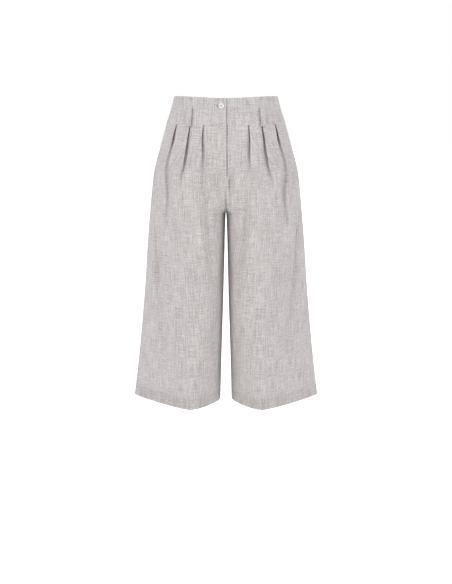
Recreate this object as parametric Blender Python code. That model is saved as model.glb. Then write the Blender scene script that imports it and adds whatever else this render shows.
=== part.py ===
"""Culottes: a high contoured waistband, three pleats on each front, wide cropped legs.

Metres, +Z up. The origin is the middle of the waist, half way up the waistband, where the wearer
holds the garment. The front faces -Y and the wearer's left is +X. Tables are in millimetres.

Every cloth piece is a wall on one form. The form is a stack of level sections, each a half loop that
runs from the centre of the body (or, below the crotch, from the inseam) round to the side seam. A point
on the cloth is given by its girth, which is the distance along that half loop, and by its lift, which is
how far it stands out from the form.
"""

import math

import bmesh
import bpy
import numpy as np

MM = 0.001

# Cloth
CLOTH = 1.0
BAND_CLOTH = 2.4
HEM_CLOTH = 2.3
SEAM_GAP = 0.3

# Heights
BAND_TOP = 33.0
BAND_FOOT = -33.0
CROTCH = -241.0
HEM = -717.5
HEM_DEPTH = 30.0
WAIST_DIP = 4.8

# Centre front: the right front laps over the left one as far as the fly's foot
FLY_EDGE = 1.2
FLY_FOOT = -165.0
FLY_RISE = 0.8
FLY_SINK = -0.4
FLY_REACH = 24.0
SHIELD_INNER = -28.0
SHIELD_OUTER = 12.0
SHIELD_SINK = -2.5
UNDERLAP = 30.0
UNDERLAP_SINK = -3.0
BAND_SINK = -0.5
BAND_CORNER = 7.0

# Trimmings
LOOP_WIDTH = 11.0
LOOP_CLOTH = 1.4
LOOP_STANDOFF = 7.6
LOOP_GIRTH = 88.0
LOOP_TACK = 11.0
LOOP_FOOT = -36.5
BUTTON_RADIUS = 6.6
BUTTON_X = -11.2
BUTTON_Z = 13.8
BUTTON_GAP = 0.5

LINEN = (0.596, 0.558, 0.545)
SHELL = (0.80, 0.78, 0.76)

RIGHT, LEFT = -1.0, 1.0


def table(columns, rows):
    """Rows under named columns, as a dict of arrays, from the top down."""
    return dict(zip(columns.split(), np.array(rows, float).T, strict=True))


# The form: the half width at the side seam, and the fullest point of front and back with how square the
# curve from there to the side seam is (0 a straight line, 0.55 an ellipse, 1 a square corner).
FORM = table(
    "z     half  front_u front_y front_k  back_u back_y back_k",
    [
        (33, 124.8, 26, -96.5, 0.60, 24, 95.5, 0.57),
        (0, 133.7, 28, -104.0, 0.60, 26, 102.5, 0.57),
        (-33, 144.7, 32, -111.0, 0.60, 30, 109.5, 0.56),
        (-64, 153.2, 42, -117.0, 0.59, 42, 116.0, 0.55),
        (-93, 161.8, 47, -122.0, 0.57, 50, 121.0, 0.54),
        (-122, 170.4, 54, -126.5, 0.55, 58, 125.0, 0.52),
        (-152, 177.4, 63, -131.0, 0.52, 66, 128.0, 0.50),
        (-196, 182.7, 76, -135.5, 0.48, 74, 129.0, 0.48),
        (-241, 187.1, 85, -138.5, 0.44, 82, 126.0, 0.45),
        (-316, 194.1, 90, -141.0, 0.38, 92, 122.0, 0.41),
        (-438, 203.6, 92, -142.5, 0.31, 98, 119.0, 0.36),
        (-562, 215.3, 91, -143.5, 0.21, 101, 118.0, 0.32),
        (-640, 224.0, 90, -144.0, 0.17, 103, 118.0, 0.30),
        (-717.5, 234.2, 88, -144.5, 0.14, 104, 118.0, 0.28),
    ],
)

# Where the half loop starts above the crotch: on the centre seam. turn is the angle, in degrees, between
# the cloth there and the line straight across the body, and k how far it keeps to that direction.
CENTRE_FRONT = table(
    "z     y       turn  k",
    [
        (33, -97.0, 0, 0.33),
        (-33, -111.5, 0, 0.33),
        (-93, -121.0, 0, 0.33),
        (-140, -126.5, 0, 0.33),
        (-165, -128.2, 0, 0.30),
        (-182, -128.2, 12, 0.22),
        (-196, -125.5, 30, 0.19),
        (-210, -120.0, 48, 0.22),
        (-223, -112.0, 62, 0.28),
        (-233, -98.0, 75, 0.32),
        (-239, -72.0, 84, 0.50),
        (-241, -8.0, 90, 0.68),
    ],
)
CENTRE_BACK = table(
    "z     y       turn  k",
    [
        (33, 96.0, 0, 0.33),
        (-33, 109.5, 0, 0.33),
        (-93, 119.5, 0, 0.33),
        (-140, 123.0, 0, 0.34),
        (-170, 121.0, 10, 0.36),
        (-195, 113.0, 26, 0.40),
        (-214, 97.0, 44, 0.44),
        (-228, 74.0, 60, 0.46),
        (-237, 38.0, 78, 0.46),
        (-241, -8.0, 90, 0.46),
    ],
)

# Below the crotch it starts on the inseam, heading straight to the front or to the back.
INSEAM = table(
    "z     u     y      front_k back_k",
    [
        (-241, 0.0, -8.0, 0.68, 0.46),
        (-256, 1.4, -11.0, 0.67, 0.46),
        (-300, 3.2, -17.0, 0.65, 0.44),
        (-377, 5.0, -24.0, 0.60, 0.40),
        (-470, 7.4, -30.0, 0.53, 0.38),
        (-560, 10.3, -35.0, 0.45, 0.36),
        (-640, 12.6, -38.0, 0.33, 0.34),
        (-717.5, 14.4, -40.0, 0.21, 0.32),
    ],
)

# The pleats, from the centre front outwards. line is how far the pleat's groove is from the side seam, lap
# how far the cloth under the folded edge runs back (negative once the fold has opened into a slope), valley
# how deep the groove is on the side nearer the centre, crest how far the folded edge stands out, and reach
# how far from the groove the cloth starts to sink.
PLEATS = [
    table(
        "z     line lap  valley crest reach",
        [
            (-33, 155, 12, 4.5, 0.0, 6),
            (-45, 159, 12, 7.5, 0.3, 7),
            (-60, 164, 10, 9.6, 0.6, 8),
            (-78, 170.5, 6, 10.2, 1.0, 10),
            (-98, 178, 1, 8.8, 1.3, 14),
            (-122, 188, -4, 7.0, 1.3, 16),
            (-150, 199, -9, 5.8, 1.2, 18),
            (-190, 211, -13, 4.8, 1.0, 20),
            (-230, 221, -16, 4.0, 1.0, 22),
            (-270, 230, -18, 3.0, 0.8, 22),
            (-340, 245, -20, 1.8, 0.6, 22),
            (-460, 262, -22, 0.8, 0.3, 22),
            (-717.5, 270, -22, 0.0, 0.0, 22),
        ],
    ),
    table(
        "z     line lap  valley crest reach",
        [
            (-33, 121.5, 12, 4.5, 0.0, 6),
            (-45, 125, 12, 7.6, 0.3, 7),
            (-60, 128.5, 11, 10.0, 0.6, 8),
            (-85, 134.5, 8, 10.6, 1.2, 11),
            (-108, 139.5, 4, 9.2, 1.8, 14),
            (-130, 143, 0, 7.8, 2.0, 15),
            (-150, 145.5, -3, 5.8, 1.7, 15),
            (-170, 148.5, -6, 3.6, 1.1, 15),
            (-188, 151, -9, 1.9, 0.7, 16),
            (-250, 159, -17, 0.6, 0.3, 18),
            (-340, 170, -20, 0.4, 0.2, 18),
            (-460, 182, -22, 0.2, 0.0, 18),
            (-717.5, 199, -22, 0.0, 0.0, 18),
        ],
    ),
    table(
        "z     line lap  valley crest reach",
        [
            (-33, 81.5, 12, 4.5, 0.0, 6),
            (-45, 82, 11, 6.8, 0.4, 7),
            (-60, 84.5, 8, 9.6, 1.2, 7),
            (-70, 85.5, 5.5, 13.0, 2.0, 8),
            (-80, 86.5, 2, 7.2, 1.8, 10),
            (-92, 87.5, -1, 6.4, 1.8, 12),
            (-112, 88.5, -3, 6.0, 2.2, 15),
            (-132, 92, -5, 6.4, 2.8, 16),
            (-151, 98, -6, 6.4, 3.2, 17),
            (-190, 114, -8, 6.8, 3.8, 17),
            (-225, 119, -10, 6.0, 3.6, 17),
            (-270, 121, -14, 3.6, 2.4, 18),
            (-330, 122, -18, 1.8, 1.4, 18),
            (-460, 125, -22, 0.4, 0.3, 18),
            (-717.5, 128, -22, 0.0, 0.0, 18),
        ],
    ),
]
CREST_WIDTH = 11.0
FOLD_RADIUS = 0.68
OPEN_RADIUS = 9.0
FLAT_SPREAD = 1.5

# The largest soft folds of the legs: distance from the side seam and height at both ends, half width,
# and depth at the middle (negative is a trough).
FRONT_FOLDS = table(
    "from_1 z_1   from_2 z_2   width depth",
    [
        (36, -195, 104, -500, 11, -13.0),
        (88, -340, 122, -640, 15, -7.0),
        (204, -165, 254, -420, 8, -7.0),
    ],
)
BACK_FOLDS = table(
    "from_1 z_1   from_2 z_2   width depth",
    [
        (120, -215, 150, -520, 24, -5.0),
        (40, -240, 70, -600, 20, -4.5),
    ],
)

# Where the walls have their rows and columns
PANEL_ROWS = [-33, -57, -76, -98, -122, -150, -180, -205, -223, -234, -239, -241]
PANEL_ROWS += [-256, -300, -377, -470, -580, -686.5, -688.5, -717.5]
BACK_COLUMNS = 14
BAND_ROWS = [-33, 0, 33]
SHIELD_ROWS = [-57, -76, -98, -122, -150]


def slopes(x, y):
    """Slopes at each point for an interpolation that never overshoots (Fritsch and Carlson)."""
    step = np.diff(x)
    rise = np.diff(y) / step
    inner = np.zeros(len(x))
    same = rise[:-1] * rise[1:] > 0
    left, right = 2 * step[1:] + step[:-1], step[1:] + 2 * step[:-1]
    with np.errstate(divide="ignore", invalid="ignore"):
        mean = (left + right) / (left / rise[:-1] + right / rise[1:])
    inner[1:-1] = np.where(same, mean, 0.0)
    inner[0], inner[-1] = rise[0], rise[-1]
    return inner


def read(rows, name, z):
    """A column's value at a height, on a smooth curve through the table's rows."""
    x, y = rows["z"][::-1], rows[name][::-1]
    z = min(max(z, x[0]), x[-1])
    i = int(np.clip(np.searchsorted(x, z) - 1, 0, len(x) - 2))
    m = slopes(x, y)
    h = x[i + 1] - x[i]
    t = (z - x[i]) / h
    return (
        (1 + 2 * t) * (1 - t) ** 2 * y[i]
        + t * (1 - t) ** 2 * h * m[i]
        + t * t * (3 - 2 * t) * y[i + 1]
        + t * t * (t - 1) * h * m[i + 1]
    )


def smooth(t):
    t = np.clip(t, 0.0, 1.0)
    return t * t * (3 - 2 * t)


def bezier(a, b, c, d, count=60):
    t = np.linspace(0, 1, count)[:, None]
    a, b, c, d = (np.array(p, float) for p in (a, b, c, d))
    return (1 - t) ** 3 * a + 3 * (1 - t) ** 2 * t * b + 3 * (1 - t) * t * t * c + t**3 * d


class Section:
    """The level half loop at one height, for the front (face -1) or the back (face 1)."""

    def __init__(self, z, face):
        which = "front" if face < 0 else "back"
        half = read(FORM, "half", z)
        full = np.array([read(FORM, which + "_u", z), read(FORM, which + "_y", z)])
        k = read(FORM, which + "_k", z)
        if z < CROTCH:
            start = np.array([read(INSEAM, "u", z), read(INSEAM, "y", z)])
            turn = math.pi / 2
            keep = read(INSEAM, which + "_k", z)
        else:
            centre = CENTRE_FRONT if face < 0 else CENTRE_BACK
            start = np.array([0, read(centre, "y", z)])
            turn = math.radians(read(centre, "turn", z))
            keep = read(centre, "k", z)
        pull = keep * np.linalg.norm(full - start)
        leave = np.array([math.cos(turn), face * math.sin(turn)])
        level = min(pull, 0.8 * (full[0] - start[0]))
        inner = bezier(start, start + pull * leave, full - [level, 0], full)
        seam = np.array([half, face * SEAM_GAP / 2])
        leave_full = full + [k * (half - full[0]), 0]
        meet_seam = np.array([half, full[1] + (seam[1] - full[1]) * (1 - k)])
        outer = bezier(full, leave_full, meet_seam, seam)
        self.points = np.concatenate([inner, outer[1:]])
        steps = np.linalg.norm(np.diff(self.points, axis=0), axis=1)
        self.girth = np.concatenate([[0], np.cumsum(steps)])
        self.tangents = np.gradient(self.points, self.girth, axis=0)
        self.tangents[0] = leave
        self.tangents[-1] = (0, -face)
        self.tangents /= np.linalg.norm(self.tangents, axis=1)[:, None]
        self.face = face
        self.length = self.girth[-1]

    def at(self, girth, lift, along, out):
        """Places and outward normals of points at these girths and lifts, where the cloth heads (along, out).

        A girth below nothing is on the other half of the body.
        """
        inside = np.abs(girth)
        place = np.stack([np.interp(inside, self.girth, self.points[:, i]) for i in (0, 1)], 1)
        tangent = np.stack([np.interp(inside, self.girth, self.tangents[:, i]) for i in (0, 1)], 1)
        tangent /= np.linalg.norm(tangent, axis=1)[:, None]
        other_side = girth < 0
        place[other_side, 0] *= -1
        tangent[other_side, 1] *= -1
        normal = np.stack([-self.face * tangent[:, 1], self.face * tangent[:, 0]], 1)
        return place + lift[:, None] * normal, along[:, None] * normal - out[:, None] * tangent


def pleat_points(rows, z, arcs=2):
    """(distance past the folded edge, lift) along one pleat: down beside the edge, under it and back over."""
    lap = read(rows, "lap", z)
    valley = read(rows, "valley", z)
    crest = read(rows, "crest", z)
    reach = read(rows, "reach", z)
    depth = valley + crest
    widest = 0.98 * (lap * lap + depth * depth) / (4 * max(depth, 0.01))
    radius = min(FOLD_RADIUS + (OPEN_RADIUS - FOLD_RADIUS) * smooth(-lap / 20), widest)
    across = np.array([-lap, depth - 2 * radius])
    straight = math.sqrt(max(across @ across - 4 * radius * radius, 0))
    angle = math.atan2(across[1], across[0]) + math.atan2(2 * radius, straight)
    steps = np.linspace(0, angle, arcs + 1)
    spread = FLAT_SPREAD * (1 - angle / math.pi) * np.arange(arcs + 1)
    sine = radius * np.sin(steps)
    rise = radius * (1 - np.cos(steps))
    first = np.stack([lap + sine - spread[::-1], rise - valley], 1)
    last = np.stack([spread - sine[::-1], crest - rise[::-1]], 1)
    foot = min(lap, 0.0)
    into = [
        (foot - reach, 0.0),
        (foot - 0.5 * reach, -0.42 * valley),
        (foot - 0.2 * reach, -0.9 * valley),
    ]
    over = [(0.45 * CREST_WIDTH, 0.75 * crest), (CREST_WIDTH, 0.25 * crest)]
    return np.concatenate([into, first, last, over])


def front_path(z, length):
    """(girth, lift) of every column of a front at one height."""
    pleats = []
    for rows in PLEATS:
        opened = max(-read(rows, "lap", z), 0.0)
        pleats.append(pleat_points(rows, z) + [length - read(rows, "line", z) + opened, 0])
    start = pleats[0][0, 0]
    lead = np.stack([np.linspace(0, start, 4)[:-1], np.zeros(3)], 1)
    last = pleats[-1][-1, 0]
    rest = last + (length - last) * np.array([0.2, 0.46, 0.76, 1.0])
    return np.concatenate([lead, *pleats, np.stack([rest, np.zeros(4)], 1)])


def fold_lift(folds, from_side, z):
    """How far the soft folds move the cloth at these distances from the side seam."""
    lift = np.zeros(len(from_side))
    for s1, z1, s2, z2, width, depth in zip(*folds.values(), strict=True):
        t = (z - z1) / (z2 - z1)
        if 0 < t < 1:
            middle = s1 + (s2 - s1) * t
            share = math.sin(math.pi * t) ** 1.5
            lift += depth * share * np.exp(-(((from_side - middle) / width) ** 2))
    return lift


def headings(girth, lift):
    """The direction of the path at each point, square to the seam at both ends."""
    path = np.stack([girth, lift], 1)
    step = np.diff(path, axis=0)
    step /= np.maximum(np.linalg.norm(step, axis=1), 1e-9)[:, None]
    head = np.concatenate([[[1, 0]], step[:-1] + step[1:], [[1, 0]]])
    return head / np.maximum(np.linalg.norm(head, axis=1), 1e-9)[:, None]


def front_row(z, side):
    """(places, normals, least distance from the middle) across one front at one height."""
    section = Section(z, -1)
    girth, lift = front_path(z, section.length).T
    lift = lift + fold_lift(FRONT_FOLDS, section.length - girth, z)
    fly = smooth((z - FLY_FOOT) / 25.0)
    lift = lift + fly * (FLY_RISE if side == RIGHT else FLY_SINK) * smooth(1 - girth / FLY_REACH)
    centre = side * FLY_EDGE * fly + SEAM_GAP / 2
    girth = girth + centre * smooth(1 - girth / FLY_REACH)
    head = headings(girth, lift)
    place, normal = section.at(girth, lift, head[:, 0], head[:, 1])
    return place, normal, centre


def back_row(z, side):
    """The same across one back."""
    section = Section(z, 1)
    girth = np.linspace(SEAM_GAP / 2, section.length, BACK_COLUMNS)
    lift = fold_lift(BACK_FOLDS, section.length - girth, z)
    head = headings(girth, lift)
    place, normal = section.at(girth, lift, head[:, 0], head[:, 1])
    return place, normal, SEAM_GAP / 2


def material(name, colour, roughness):
    made = bpy.data.materials.new(name)
    made.use_nodes = True
    shader = made.node_tree.nodes["Principled BSDF"]
    shader.inputs["Base Color"].default_value = (*colour, 1)
    shader.inputs["Roughness"].default_value = roughness
    shader.inputs["Metallic"].default_value = 0.0
    return made


def finish_object(name, bm, colour=LINEN, roughness=0.9):
    """A closed mesh as an object with a material of its own, its faces turned outwards."""
    bmesh.ops.recalc_face_normals(bm, faces=bm.faces)
    mesh = bpy.data.meshes.new(name)
    bm.to_mesh(mesh)
    bm.free()
    mesh.shade_smooth()
    mesh.set_sharp_from_angle(angle=math.radians(40))
    made = bpy.data.objects.new(name, mesh)
    made.data.materials.append(material(name, colour, roughness))
    bpy.context.scene.collection.objects.link(made)
    return made


def wall(name, outer, inner):
    """A wall between two grids of points, given in millimetres as rows of columns."""
    bm = bmesh.new()
    rows, columns = outer.shape[:2]
    skins = [[[bm.verts.new(p * MM) for p in row] for row in grid] for grid in (outer, inner)]
    for skin in skins:
        for i in range(rows - 1):
            for j in range(columns - 1):
                bm.faces.new((skin[i][j], skin[i][j + 1], skin[i + 1][j + 1], skin[i + 1][j]))
    rim = [(i, 0) for i in range(rows)]
    rim += [(rows - 1, j) for j in range(1, columns)]
    rim += [(i, columns - 1) for i in range(rows - 2, -1, -1)]
    rim += [(0, j) for j in range(columns - 2, 0, -1)]
    for (i, j), (k, m) in zip(rim, rim[1:] + rim[:1], strict=True):
        bm.faces.new((skins[0][i][j], skins[0][k][m], skins[1][k][m], skins[1][i][j]))
    return finish_object(name, bm)


def panel_wall(name, row, side):
    """A leg panel: its sections stacked, the cloth doubled where the hem is turned up."""
    outer, inner = [], []
    for z in PANEL_ROWS:
        place, normal, least = row(z, side)
        doubled = z < HEM + HEM_DEPTH
        thick = HEM_CLOTH if doubled else CLOTH
        level = z - SEAM_GAP / 2 if z == BAND_FOOT else z
        for grid, out in ((outer, CLOTH / 2), (inner, CLOTH / 2 - thick)):
            points = place + out * normal
            points[:, 0] = np.maximum(points[:, 0], least)
            grid.append([(side * u, y, level) for u, y in points])
    return wall(name, np.array(outer), np.array(inner))


def waist_line(z, x):
    """The band's top edge dips a little at centre front and centre back."""
    share = (z - BAND_FOOT) / (BAND_TOP - BAND_FOOT)
    return z - WAIST_DIP * share * np.cos(np.clip(x / 126.0, -1, 1) * math.pi / 2) ** 2


def band_wall(name, face, side, rows, girths, sink=None):
    """A piece of waistband: girths gives its columns at a height, sink how far they lie behind the form."""
    outer, inner = [], []
    for z in rows:
        section = Section(z, face)
        girth = girths(z, section.length)
        lift = np.full(len(girth), BAND_SINK) if sink is None else sink(girth)
        head = headings(girth, lift)
        place, normal = section.at(girth, lift, head[:, 0], head[:, 1])
        level = z + SEAM_GAP / 2 if z == BAND_FOOT else z
        for grid, out in ((outer, BAND_CLOTH / 2), (inner, -BAND_CLOTH / 2)):
            grid.append([(side * u, y, waist_line(level, u)) for u, y in place + out * normal])
    return wall(name, np.array(outer), np.array(inner))


def right_band_girths(z, length):
    """The lapping end of the band has a rounded top corner."""
    drop = max(z - (BAND_TOP - BAND_CORNER), 0.0)
    start = BAND_CORNER - math.sqrt(BAND_CORNER**2 - drop**2) - (FLY_EDGE - SEAM_GAP / 2)
    return np.concatenate([[start], np.linspace(9, length, 11)])


def left_band_girths(z, length):
    """The other end runs on behind it: the step comes just past the lapping edge."""
    return np.concatenate([[-UNDERLAP, -UNDERLAP / 2, 2.4, 4.5, 7, 10], np.linspace(22, length, 10)])


def underlap_sink(girth):
    return BAND_SINK + UNDERLAP_SINK * (1 - smooth((girth - 3.0) / 6.0))


def back_band_girths(z, length):
    """From one side seam right round to the other."""
    return np.linspace(-length, length, 21)


def make_band():
    corner = [BAND_TOP - BAND_CORNER, BAND_TOP - 0.25 * BAND_CORNER]
    right_rows = BAND_ROWS[:2] + corner + BAND_ROWS[2:]
    band_wall("waistband_right", -1, RIGHT, right_rows, right_band_girths)
    band_wall("waistband_left", -1, LEFT, BAND_ROWS, left_band_girths, underlap_sink)
    band_wall("waistband_back", 1, LEFT, BAND_ROWS, back_band_girths)


def make_shield():
    """The strip behind the fly opening, clear of both fronts."""
    outer, inner = [], []
    for z in [BAND_FOOT - SEAM_GAP] + SHIELD_ROWS:
        section = Section(z, -1)
        girth = np.linspace(SHIELD_INNER, SHIELD_OUTER, 6)
        place, normal = section.at(girth, np.full(6, SHIELD_SINK), np.ones(6), np.zeros(6))
        for grid, out in ((outer, CLOTH / 2), (inner, -CLOTH / 2)):
            grid.append([(u, y, z) for u, y in place + out * normal])
    wall("fly_shield", np.array(outer), np.array(inner))


def make_loop(name, face, side, girth):
    """A belt loop: tacked flat at the top of the band, standing off below, tacked again at its foot."""
    half = LOOP_WIDTH / 2
    flat = BAND_SINK + BAND_CLOTH / 2 + SEAM_GAP + LOOP_CLOTH / 2
    path = [
        (BAND_TOP - 1, flat),
        (LOOP_TACK + 3, flat),
        (LOOP_TACK - 1, flat + 1.0),
        (LOOP_TACK - 6, flat + 0.8 * LOOP_STANDOFF),
        (LOOP_TACK - 12, flat + LOOP_STANDOFF),
        (LOOP_FOOT + 14, flat + LOOP_STANDOFF),
        (LOOP_FOOT + 7, flat + 0.8 * LOOP_STANDOFF),
        (LOOP_FOOT + 2, flat + 1.4),
        (LOOP_FOOT, flat + 0.4),
    ]
    outer, inner = [], []
    heading = np.gradient(np.array(path), axis=0)
    heading /= np.linalg.norm(heading, axis=1)[:, None]
    for (z, lift), (dz, dn) in zip(path, heading, strict=True):
        for grid, out in ((outer, LOOP_CLOTH / 2), (inner, -LOOP_CLOTH / 2)):
            level = z + out * dn
            section = Section(max(level, BAND_FOOT), face)
            centre, normal = section.at(np.full(1, girth), np.zeros(1), np.ones(1), np.zeros(1))
            tangent = np.array([normal[0, 1], -normal[0, 0]]) * (-face)
            middle = centre[0] + (lift - out * dz) * normal[0]
            points = [middle - half * tangent, middle + half * tangent]
            grid.append([(side * u, y, waist_line(level, u)) for u, y in points])
    return wall(name, np.array(outer), np.array(inner))


def make_button():
    """A four-hole shell button with a raised rim, standing on the right band."""
    section = Section(BUTTON_Z, -1)
    stand = BAND_SINK + BAND_CLOTH / 2 + BUTTON_GAP
    place, _ = section.at(np.full(1, -BUTTON_X), np.full(1, stand), np.ones(1), np.zeros(1))
    rim = BUTTON_RADIUS
    profile = [
        (0, 0),
        (rim - 1.3, 0),
        (rim - 0.2, 0.5),
        (rim, 1.3),
        (rim - 0.4, 2.2),
        (rim - 1.2, 2.3),
        (rim - 2.1, 1.8),
        (0, 1.6),
    ]
    bm = bmesh.new()
    line = [bm.verts.new((r * MM, 0, h * MM)) for r, h in profile]
    edges = [bm.edges.new(pair) for pair in zip(line, line[1:])]
    bmesh.ops.spin(
        bm, geom=line + edges, cent=(0, 0, 0), axis=(0, 0, 1), angle=2 * math.pi, steps=24, use_merge=True
    )
    bmesh.ops.remove_doubles(bm, verts=bm.verts, dist=1e-5)
    button = finish_object("button", bm, SHELL, 0.25)
    for i, (dx, dy) in enumerate(((1, 1), (-1, 1), (-1, -1), (1, -1))):
        cut = bmesh.new()
        bmesh.ops.create_cone(
            cut, cap_ends=True, segments=10, radius1=0.85 * MM, radius2=0.85 * MM, depth=8 * MM
        )
        bmesh.ops.translate(cut, verts=cut.verts, vec=(1.45 * MM * dx, 1.45 * MM * dy, 1 * MM))
        cutter = finish_object(f"button_hole_{i}", cut, SHELL, 0.25)
        cutter.hide_render = True
        cutter.display_type = "WIRE"
        cutter.parent = button
        hole = button.modifiers.new(f"hole_{i}", "BOOLEAN")
        hole.operation = "DIFFERENCE"
        hole.object = cutter
    rise = waist_line(BAND_TOP, BUTTON_X) - waist_line(0, BUTTON_X)
    lean = math.atan2(read(FORM, "front_y", BAND_TOP) - read(FORM, "front_y", 0), rise)
    button.location = (BUTTON_X * MM, place[0, 1] * MM, waist_line(BUTTON_Z, -BUTTON_X) * MM)
    button.rotation_euler = (math.pi / 2 - lean, 0, 0)
    return button


def main():
    for old in list(bpy.data.objects):
        bpy.data.objects.remove(old)
    for side, name in ((RIGHT, "right"), (LEFT, "left")):
        panel_wall(f"front_{name}", front_row, side)
        panel_wall(f"back_{name}", back_row, side)
        make_loop(f"belt_loop_front_{name}", -1, side, LOOP_GIRTH)
        make_loop(f"belt_loop_back_{name}", 1, side, LOOP_GIRTH)
    make_band()
    make_shield()
    make_button()


main()
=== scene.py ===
"""Looks of the culottes: linen panels with open pleats, a doubled waistband, loops, fly and a shell button.

Every cloth piece is a thin wall on the same form as its CAD solid, on a much finer grid. The form is a
stack of level sections, each a half loop from the centre of the body (or, below the crotch, from the
inseam) round to the side seam. Tables and lengths are in millimetres; meshes are in metres.
"""

import math

import bmesh
import bpy
import numpy as np
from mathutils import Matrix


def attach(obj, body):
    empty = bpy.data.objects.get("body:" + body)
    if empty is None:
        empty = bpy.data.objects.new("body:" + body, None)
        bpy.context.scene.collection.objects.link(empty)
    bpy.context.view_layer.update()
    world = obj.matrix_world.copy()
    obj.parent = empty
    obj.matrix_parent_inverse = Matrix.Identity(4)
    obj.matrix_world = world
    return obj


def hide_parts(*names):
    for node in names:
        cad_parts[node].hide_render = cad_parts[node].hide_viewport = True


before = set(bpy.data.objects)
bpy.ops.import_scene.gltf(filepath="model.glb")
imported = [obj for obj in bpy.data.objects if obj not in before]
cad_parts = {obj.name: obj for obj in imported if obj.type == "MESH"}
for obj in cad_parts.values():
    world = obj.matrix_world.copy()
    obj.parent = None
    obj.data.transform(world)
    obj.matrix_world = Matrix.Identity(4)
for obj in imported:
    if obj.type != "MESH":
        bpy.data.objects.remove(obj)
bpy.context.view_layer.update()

MM = 0.001
RIGHT, LEFT = -1.0, 1.0

# Cloth
CLOTH = 1.0
BAND_CLOTH = 2.4
HEM_CLOTH = 2.3
SEAM_GAP = 0.05
SEAM_TUCK = 0.7

# Heights
BAND_TOP = 33.0
BAND_FOOT = -33.0
CROTCH = -241.0
HEM = -717.5
HEM_DEPTH = 30.0
WAIST_DIP = 4.8

# Centre front
FLY_EDGE = 1.2
FLY_FOOT = -165.0
FLY_RISE = 0.8
FLY_SINK = -0.4
FLY_REACH = 24.0
SHIELD_INNER = -28.0
SHIELD_OUTER = 12.0
SHIELD_DEPTH = -5.0
SHIELD_FOOT = -150.0
UNDERLAP = 30.0
UNDERLAP_SINK = -3.0
BAND_SINK = -0.5
BAND_CORNER = 7.0
SEAM_GROOVE = 2.4
SEAM_GROOVE_WIDTH = 3.0
FLY_GROOVE = 2.6
FLY_GROOVE_WIDTH = 2.2

# Trimmings
LOOP_WIDTH = 11.0
LOOP_CLOTH = 1.4
LOOP_STANDOFF = 7.0
LOOP_GIRTH = 87.0
LOOP_LEAN = 3.6
LOOP_TWIST = 0.36
LOOP_TACK = 11.0
LOOP_FOOT = -36.2
BUTTON_RADIUS = 6.6
BUTTON_X = -11.2
BUTTON_Z = 13.8
BUTTON_GAP = 1.2
BUTTON_TILT = -4.0
BUTTON_HOLE = 0.8
BUTTON_HOLE_PLACE = 1.35
KEYHOLE_RADIUS = 1.1
KEYHOLE_REACH = (-125.0, -99.5)
STITCH_RADIUS = 0.24

# The camera stands in front at waist height and looks down a little; the floor is where the wearer's is
CAMERA_DISTANCE = 2.6
CAMERA_HEIGHT = 0.033
CAMERA_PITCH = 10.57
CAMERA_LENS = 64.7
FLOOR = -1.03
AMBIENT_FRONT = 0.61
AMBIENT_SIDE = 0.76
LIGHT_AIM = (0, 0, -0.35)


def table(columns, rows):
    """Rows under named columns, as a dict of arrays, from the top down."""
    return dict(zip(columns.split(), np.array(rows, float).T, strict=True))


# The form: the half width at the side seam, and the fullest point of front and back with how square the
# curve from there to the side seam is (0 a straight line, 0.55 an ellipse, 1 a square corner).
FORM = table(
    "z     half  front_u front_y front_k  back_u back_y back_k",
    [
        (33, 124.8, 26, -96.5, 0.60, 24, 95.5, 0.57),
        (0, 133.7, 28, -104.0, 0.60, 26, 102.5, 0.57),
        (-33, 144.7, 32, -111.0, 0.60, 30, 109.5, 0.56),
        (-64, 153.2, 42, -117.0, 0.59, 42, 116.0, 0.55),
        (-93, 161.8, 47, -122.0, 0.57, 50, 121.0, 0.54),
        (-122, 170.4, 54, -126.5, 0.55, 58, 125.0, 0.52),
        (-152, 177.4, 63, -131.0, 0.52, 66, 128.0, 0.50),
        (-196, 182.7, 76, -135.5, 0.48, 74, 129.0, 0.48),
        (-241, 187.1, 85, -138.5, 0.44, 82, 126.0, 0.45),
        (-316, 194.1, 90, -141.0, 0.38, 92, 122.0, 0.41),
        (-438, 203.6, 92, -142.5, 0.31, 98, 119.0, 0.36),
        (-562, 215.3, 91, -143.5, 0.21, 101, 118.0, 0.32),
        (-640, 224.0, 90, -144.0, 0.17, 103, 118.0, 0.30),
        (-717.5, 234.2, 88, -144.5, 0.14, 104, 118.0, 0.28),
    ],
)

# Where the half loop starts: above the crotch on the centre seam, below it on the inseam. turn is the
# angle, in degrees, between the cloth there and the line straight across, k how far it keeps to it.
CENTRE_FRONT = table(
    "z     y       turn  k",
    [
        (33, -97.0, 0, 0.33),
        (-33, -111.5, 0, 0.33),
        (-93, -121.0, 0, 0.33),
        (-140, -126.5, 0, 0.33),
        (-165, -128.2, 0, 0.30),
        (-182, -128.2, 12, 0.22),
        (-196, -125.5, 30, 0.19),
        (-210, -120.0, 48, 0.22),
        (-223, -112.0, 62, 0.28),
        (-233, -98.0, 75, 0.32),
        (-239, -72.0, 84, 0.50),
        (-241, -8.0, 90, 0.68),
    ],
)
CENTRE_BACK = table(
    "z     y       turn  k",
    [
        (33, 96.0, 0, 0.33),
        (-33, 109.5, 0, 0.33),
        (-93, 119.5, 0, 0.33),
        (-140, 123.0, 0, 0.34),
        (-170, 121.0, 10, 0.36),
        (-195, 113.0, 26, 0.40),
        (-214, 97.0, 44, 0.44),
        (-228, 74.0, 60, 0.46),
        (-237, 38.0, 78, 0.46),
        (-241, -8.0, 90, 0.46),
    ],
)
INSEAM = table(
    "z     u     y      front_k back_k",
    [
        (-241, 0.0, -8.0, 0.68, 0.46),
        (-256, 1.4, -11.0, 0.67, 0.46),
        (-300, 3.2, -17.0, 0.65, 0.44),
        (-377, 5.0, -24.0, 0.60, 0.40),
        (-470, 7.4, -30.0, 0.53, 0.38),
        (-560, 10.3, -35.0, 0.45, 0.36),
        (-640, 12.6, -38.0, 0.33, 0.34),
        (-717.5, 14.4, -40.0, 0.21, 0.32),
    ],
)

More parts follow.
